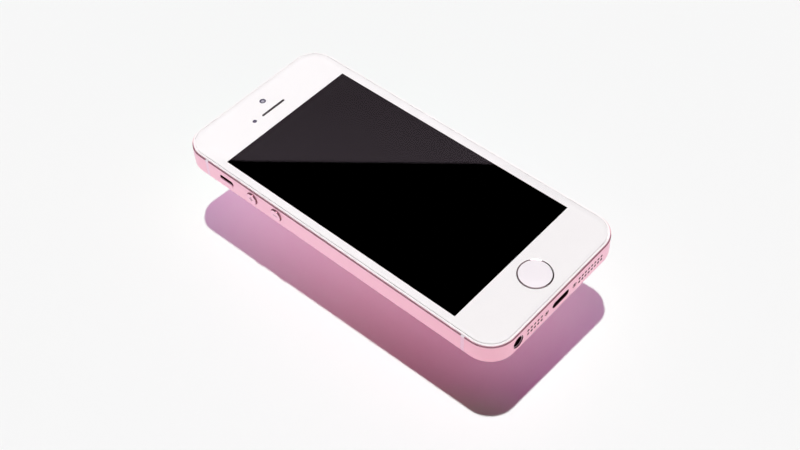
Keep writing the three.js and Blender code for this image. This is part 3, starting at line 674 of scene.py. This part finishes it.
def front_glass():
    top = THICKNESS
    sheet = solid(loft(body_outline, filleted([
        (8, GLASS_UNDERSIDE), (1.03, GLASS_UNDERSIDE, 0.03), (1.03, top, 0.13), (8, top)], 5)))
    cut(sheet,
        loft(circle(5.26, 128), [(0, 6), (0, top - 0.06), (-0.02, top - 0.02), (-0.06, top),
                                 (-0.06, 9)], HOME),
        loft(pill(9.6, 0.78, 16), [(0, 6), (0, top - 0.05), (-0.05, top), (-0.05, 9)], EARPIECE))
    settle(sheet, "front_glass", [glass], replaced="cover_glass")


def ink_border():
    """Ink under the glass; its rim turns up inside the glass's edge."""
    border = solid(loft(body_outline, [(1.05, 7.13), (1.05, 7.48), (1.15, 7.56), (2.4, 7.17)]))
    window = [(WINDOW_W / 2 * x, WINDOW_L / 2 * y) for x, y in ((-1, -1), (1, -1), (1, 1), (-1, 1))]
    cut(border, prism(lambda inset: window, 6, 9), prism(circle(5.28, 128), 6, 9, HOME),
        prism(pill(9.62, 0.80, 16), 6, 9, EARPIECE), prism(circle(1.06, 64), 6, 9, FRONT_CAMERA),
        prism(circle(0.72, 48), 6, 9, SENSOR))
    settle(border, "front_ink_border", [ink], replaced="cover_border")


def display_panel():
    panel = solid(boxed(-25.6, 25.6, -45.7, 45.7, 5.45, 7.11, 0.05))
    settle(panel, "display_panel", [panel_black], replaced="lcd_panel")


def front_camera():
    barrel = solid(turned([(0, 6.6), (1.45, 6.6), (1.45, 7.1), (0.62, 7.1), (0.55, 7.06),
                           (0.3, 7.09), (0, 7.1)], FRONT_CAMERA))
    centre = Vector(FRONT_CAMERA).xy
    # painted highlight: the middle 0.5 mm of the lens top takes the light grey
    settle(barrel, "front_camera_barrel", [lens_blue, lens_painted_highlight],
           pick=lambda c, n: int((c.xy - centre).length < 0.5 and c.z > 7.0))


def front_sensor():
    window = solid(turned([(0, 6.6), (1.0, 6.6), (1.0, 7.1), (0, 7.1)], SENSOR, n=48))
    settle(window, "front_sensor_window", [lens_blue])


def earpiece():
    strip = solid(loft(pill(9.5, 0.68, 16), slab(0.3, 6.98, 7.32, 0.02, 0.04, 2), EARPIECE))
    settle(strip, "earpiece_cloth", [cloth], replaced="earpiece_mesh")


def home_button():
    ring = solid(turned([(4.88, 6.2), (6.2, 6.2), (6.2, 6.8), (5.16, 6.8), (5.16, 7.45),
                         (5.13, 7.475), (4.88, 7.372)], HOME, n=160))
    settle(ring, "home_ring", [ring_steel], body="home_button", replaced="home_button_ring")
    # the dish of the disc is a parabola
    dish = [(4.66 * k / 10, 7.13 + 0.215 * (k / 10) ** 2) for k in range(10, -1, -1)]
    disc = solid(turned([(0, 6.78), (4.83, 6.78), (4.83, 7.31), (4.80, 7.34), (4.75, 7.35), *dish],
                        HOME, n=128))
    settle(disc, "home_disc", [disc_white], body="home_button", replaced="home_button_disc")


# ---------------------------------------------------------------- side keys and card tray
VOLUME_PROUD = 0.43
VOLUME_PROFILE = filleted([(1.1, -1.28), (0, -1.28), (0, 0.16, 0.02), (0.065, 0.385, 0.02),
                           (0.12, 0.425, 0.03), (1.1, VOLUME_PROUD)])
VOLUME_PROFILE[-1:] = [(1.1, 0.435), (1.8, 0.45)]  # the crown of the face


def volume_pick(c, n):
    """0 satin face, 1 polished rim painted dark as shade, 2 engraving."""
    height = -c.x - HALF_W
    if VOLUME_PROUD - 0.12 < height < VOLUME_PROUD - 0.03 and abs(n.x) > 0.9:
        return 2
    return int(abs(n.x) < 0.93)


def volume_keys():
    bar, stroke = 1.75, 0.24
    for name, at, signs in (("up", VOLUME_UP, ((bar, stroke), (stroke, bar))),
                            ("down", VOLUME_DOWN, ((bar, stroke),))):
        key = solid(loft(circle(2.0, 96), VOLUME_PROFILE, at, LEFT))
        join(key, prism(rect(6.0, 4.5, 1.2, 8), -1.28, -0.8, at, LEFT))
        for w, h in signs:
            cut(key, prism(pill(w, h, 6), 0.36, 0.8, at, LEFT))
        settle(key, f"volume_key_{name}", [key_satin, rim_painted_shade, engraved],
               body=f"volume_{name}_key", replaced=f"volume_{name}_button",
               pick=volume_pick)


def silent_toggle():
    toggle = solid(loft(pill(5.3, 1.3, 10), filleted([
        (0.5, -1.1), (0, -1.1), (0, 0.06), (0, 0.22, 0.05), (0.12, 0.35, 0.05), (0.6, 0.35)]),
        MUTE, LEFT))
    join(toggle, prism(rect(7.2, 2.3, 0.3, 5), -1.3, -0.85, MUTE, LEFT))
    # painted shade: the toggle's faces inside the slot take the dark inside colour
    settle(toggle, "silent_toggle", [key_satin, rim_painted_shade, inside_painted_shade], body="mute_toggle",
           replaced="mute_switch",
           pick=lambda c, n: 2 if c.x > -HALF_W - 0.05 else 0)


def sleep_key():
    key = solid(loft(pill(*POWER_FACE, 16), filleted([
        (0.8, -1.1), (0, -1.1), (0, 0.22, 0.06), (0.24, 0.45, 0.08), (0.8, 0.45)], 4), POWER, TOP))
    join(key, prism(pill(11.2, 3.2, 12), -1.32, -0.8, POWER, TOP))
    # painted shade: the rim faces take the dark rim colour
    settle(key, "sleep_key", [key_satin, rim_painted_shade], body="power_key", replaced="power_button",
           pick=lambda c, n: int(0.2 < abs(n.y) < 0.93 and c.y > HALF_L))


def card_drawer():
    y, card_x = TRAY[1] - 0.8, 22.475
    drawer = solid(loft(pill(*TRAY_FACE, 16), slab(0.3, -1.0, 0, 0.05, 0.06), TRAY, RIGHT))
    join(drawer, prism(rect(11.5, 13.2, 0.5, 5), -0.45, 0.45, (22.75, y, KEY_Z)))
    cut(drawer, prism(rect(8.95, 12.4, 0.3, 4), -0.28, 2, (card_x, y, KEY_Z)))
    cut(drawer, prism(rect(7.7, 11.0, 0.8, 5), -2, 2, (22.45, y, KEY_Z)),
        loft(circle(0.45, 32), [(0, -1.6), (0, -0.06), (-0.06, 0), (-0.06, 0.6)],
             TRAY_PIN, RIGHT))
    # painted shade: the rim faces take the dark rim colour
    settle(drawer, "card_drawer", [key_satin, rim_painted_shade], body="card_tray", replaced="sim_tray",
           pick=lambda c, n: int(0.2 < abs(n.x) < 0.93 and c.x > HALF_W - 0.12))
    pads = []
    for i in range(3):
        for j in range(3):
            x0, y0 = card_x - 2.9 + 2.1 * i, TRAY[1] - 4.9 + 2.6 * j
            pads.append(boxed(x0, x0 + 1.8, y0, y0 + 2.3, 3.545, 3.575, 0.01))
    settle(solid(*pads), "card_contact_pads", [gold], body="card_tray")


# ---------------------------------------------------------------- pieces shown as the CAD has them
SHOWN = [
    (steel, "backlight_shield home_button_switch home_button_bracket volume_up_switch "
            "volume_down_switch power_switch side_key_bracket sim_reader sim_eject_rod "
            "sim_eject_lever board_shield_lower board_shield_upper bottom_microphone "
            "vibration_motor"),
    (black, "front_camera_module proximity_sensor earpiece_speaker home_button_sensor "
            "mute_contact_switch rear_camera_module loudspeaker_module"),
    (rubber, "home_button_gasket"),
    (board, "logic_board"),
    (flex_film, "display_flex battery_flex dock_flex"),
    (battery_wrap, "battery"),
    (phosphor, "flash_module"),
    (heavy_alloy, "vibration_weight"),
    (white_plastic, "sim_card"),
]


def dress_cad_pieces():
    for mat, names in SHOWN:
        for name in names.split():
            obj = nodes[name]
            obj.data.materials.clear()
            obj.data.materials.append(mat)
            bevel = obj.modifiers.new("edge", "BEVEL")
            bevel.width, bevel.segments = 0.00005, 2
            bevel.limit_method, bevel.angle_limit = "ANGLE", math.radians(50)
            bevel.use_clamp_overlap = True


# ---------------------------------------------------------------- stage, metres
PAPER = (0.930, 0.930, 0.930)  # lit tone of the paper, also seen behind it


def paper_material():
    """Paper with a painted shadow tone that drifts over the sheet while its lit tone stays PAPER.

    The shadow tone is a quadratic in x and y; albedo and glow are worked out from it. The glow is
    painted light: the paper emits, which gives its shadows their pink tone.
    """
    light_lit, light_shade = (1.10, 1.10, 1.10), (0.28, 0.12, 0.17)
    # shadow tone: (x power, y power) of position * 20, colour coefficients
    terms = [((1, 0), (0.2398, 0.1548, 0.2027)), ((0, 1), (0.1485, 0.0944, 0.1345)),
             ((2, 0), (-0.1621, -0.0101, -0.0833)), ((1, 1), (0.0465, -0.0002, -0.0051)),
             ((0, 2), (-0.0241, -0.0032, 0.0248))]
    mat = bpy.data.materials.new("ground")
    tree = cleared(mat)
    position = add_node(tree, "NewGeometry").outputs["Position"]
    near = vector_calc(tree, "MAXIMUM", position, (-0.036, -0.0675, -1))
    near = vector_calc(tree, "MINIMUM", near, (0.030, 0.063, 1))
    axes = add_node(tree, "SeparateXYZ", {0: vector_calc(tree, "SCALE", near, Scale=20.0)})
    tone = (0.6578, 0.2841, 0.4335)
    for (x_power, y_power), color in terms:
        factors = [axes.outputs[0]] * x_power + [axes.outputs[1]] * y_power
        term = calc(tree, "MULTIPLY", *factors) if len(factors) == 2 else factors[0]
        tone = vector_calc(tree, "MULTIPLY_ADD", term, color, tone)
    gain = tuple(1 / (lit - shade) for lit, shade in zip(light_lit, light_shade))
    albedo = vector_calc(tree, "MULTIPLY", vector_calc(tree, "SUBTRACT", PAPER, tone), gain)
    albedo = vector_calc(tree, "MINIMUM", albedo, (0.845, 0.845, 0.845))
    # painted light: the paper glows by this much
    glow = vector_calc(tree, "SUBTRACT", PAPER, vector_calc(tree, "MULTIPLY", albedo, light_lit))
    glow = vector_calc(tree, "MAXIMUM", glow, (0, 0, 0))
    # painted shade: beyond the near left corner the paper throws less light back, darkening the
    # band's near corner; the camera sees it even
    fall = map_range(tree, dot(tree, position, (-0.7071, -0.7071, 0)), 0.020, 0.080)
    camera_ray = add_node(tree, "LightPath").outputs["Is Camera Ray"]
    weight = calc(tree, "MULTIPLY", fall, calc(tree, "SUBTRACT", 1.0, camera_ray))
    fade = vector_calc(tree, "SCALE", (-0.09, -0.16, -0.165), Scale=weight)
    share = vector_calc(tree, "ADD", fade, (1, 1, 1))
    diffuse = add_node(tree, "BsdfDiffuse", {"Color": vector_calc(tree, "MULTIPLY", albedo, share)})
    emission = add_node(tree, "Emission", {
        "Color": vector_calc(tree, "MULTIPLY", glow, share), "Strength": 1.0})
    both = add_node(tree, "AddShader", {0: diffuse.outputs[0], 1: emission.outputs[0]})
    add_node(tree, "OutputMaterial", {0: both.outputs[0]})
    return mat


def ground_and_riser():
    """A sheet about 22 mm under the back and some 3 degrees off its plane, and a block between."""
    mesh = bpy.data.meshes.new("ground")
    corners = ((-1.5, -1.5), (1.5, -1.5), (1.5, 0.25), (-1.5, 0.25))
    mesh.from_pydata([(x, y, -0.021535 - 0.05474 * x - 0.02335 * y) for x, y in corners], [],
                     [(0, 1, 2, 3)])
    ground = add_object("ground", mesh)
    mesh.materials.append(paper_material())
    riser = solid(boxed(-8, 16, -30, 38, -24.0, -0.02, 0.4), name="riser")
    riser.data.transform(Matrix.Scale(MM, 4))
    mat = bpy.data.materials.new("riser")
    mat.use_nodes = True
    wire_surface(mat, {"Base Color": (0.86, 0.85, 0.86, 1), "Roughness": 0.6})
    riser.data.materials.append(mat)


def sunlight():
    data = bpy.data.lights.new("sun", "SUN")
    data.energy = 1.07 * math.pi
    data.angle = math.radians(1.6)
    sun = add_object("sun", data)
    sun.rotation_mode = "QUATERNION"
    sun.rotation_quaternion = Vector((-0.15957, -0.14664, -1.0)).to_track_quat("-Z", "Y")


def ramp(tree, value, stops):
    """A colour ramp over (value, colour) stops."""
    low, high = stops[0][0], stops[-1][0]
    node = add_node(tree, "ValToRGB", {"Fac": map_range(tree, value, low, high)})
    elements = node.color_ramp.elements
    for element, (_, color), position in ((elements[0], stops[0], 0), (elements[1], stops[-1], 1)):
        element.position, element.color = position, (*color, 1)
    for stop, color in stops[1:-1]:
        elements.new((stop - low) / (high - low)).color = (*color, 1)
    return node.outputs["Color"]


def mask(tree, value, low, start, full):
    """Black up to start, white from full."""
    dark, light = (0, 0, 0), (1, 1, 1)
    return ramp(tree, value, [(low, dark), (start, dark), (full, light), (1.0, light)])


# brightness of the mirrored room by the z of a direction
ROOM = [(-1.0, (0.93, 0.93, 0.93)), (-0.16, (0.93, 0.93, 0.93)), (-0.08, (0.46, 0.42, 0.44)),
        (0.0, (0.34, 0.30, 0.32)), (0.13, (0.31, 0.27, 0.29)), (0.28, (0.29, 0.25, 0.27)),
        (0.5, (0.27, 0.23, 0.25)), (0.8, (0.28, 0.24, 0.26)), (1.0, (0.36, 0.33, 0.34))]
# a light panel with a straight edge, by the distance of a direction from that edge
LIGHT_PANEL = [(-0.12, (0.64, 0.50, 0.60)), (-0.05, (0.66, 0.52, 0.62)),
               (-0.02, (0.78, 0.62, 0.74)), (-0.0012, (0.84, 0.67, 0.80)),
               (0.0004, (0, 0, 0)), (0.12, (0, 0, 0))]


def studio_world():
    """Mirrors see a room, diffuse surfaces a dim fill and the camera the paper's tone."""
    world = bpy.data.worlds.new("studio")
    bpy.context.scene.world = world
    tree = cleared(world)
    path = add_node(tree, "LightPath")
    direction = add_node(tree, "TexCoord").outputs["Generated"]
    room = ramp(tree, dot(tree, direction, (0, 0, 1)), ROOM)
    # the part of the room that the front glass mirrors: the light panel, beside a black one
    panel = ramp(tree, dot(tree, direction, (-0.5655, -0.4575, 0.6862)), LIGHT_PANEL)
    toward = dot(tree, direction, (0.4705, 0.4479, 0.7603))
    black_at = mask(tree, toward, low=0.6, start=0.77, full=0.81)
    panel_at = mask(tree, toward, low=0.6, start=0.93, full=0.95)
    overhead = dot(tree, direction, (-0.04, -0.04, 0.9984))
    lamp_at = mask(tree, overhead, low=0.9, start=0.972, full=0.984)
    horizon = dot(tree, direction, (0.718, 0.689, 0.1))
    glow_at = mask(tree, horizon, low=0.9, start=0.94, full=0.98)
    room = mix_colors(tree, glow_at, room, (0.85, 0.74, 0.78))
    room = mix_colors(tree, black_at, room, (0.012, 0.01, 0.011))
    room = mix_colors(tree, lamp_at, room, (6.0, 5.9, 5.95))
    room = mix_colors(tree, panel_at, room, panel)
    fill = (0.04, 0.037, 0.039)
    color = mix_colors(tree, path.outputs["Is Diffuse Ray"], room, fill)
    color = mix_colors(tree, path.outputs["Is Camera Ray"], color, PAPER)
    background = add_node(tree, "Background", {"Color": color})
    add_node(tree, "OutputWorld", {0: background.outputs[0]})


def camera():
    """Looks down at the target from the near left, rolled a little."""
    azimuth, elevation = math.radians(-46.4092), math.radians(49.4928)
    roll, distance = math.radians(-2.7517), 0.36263
    target = Vector((-0.0062915, -0.0078284, 0.0))
    back = Vector((math.sin(azimuth) * math.cos(elevation),
                   -math.cos(azimuth) * math.cos(elevation), math.sin(elevation)))
    right = (-back).cross(Z).normalized()
    up = right.cross(-back)
    rolled_right = math.cos(roll) * right + math.sin(roll) * up
    rolled_up = -math.sin(roll) * right + math.cos(roll) * up
    data = bpy.data.cameras.new("camera")
    data.sensor_width, data.lens = 36.0, 55.049
    data.clip_start, data.clip_end = 0.01, 20.0
    obj = add_object("camera", data)
    matrix = Matrix((rolled_right, rolled_up, back)).transposed().to_4x4()
    matrix.translation = target + back * distance
    obj.matrix_world = matrix
    bpy.context.scene.camera = obj


# ---------------------------------------------------------------- build, in order
for build in (housing, antenna_breaks, rear_inlays, rear_camera, rear_lamp, rear_microphone,
              end_screws, grille_cloths, charging_socket, earphone_socket, display_rim,
              front_glass, ink_border, display_panel, front_camera, front_sensor, earpiece,
              home_button, volume_keys, silent_toggle, sleep_key, card_drawer,
              dress_cad_pieces, ground_and_riser, sunlight, studio_world, camera):
    build()

bpy.context.scene.view_settings.view_transform = "Standard"
bpy.context.scene.view_settings.look = "None"
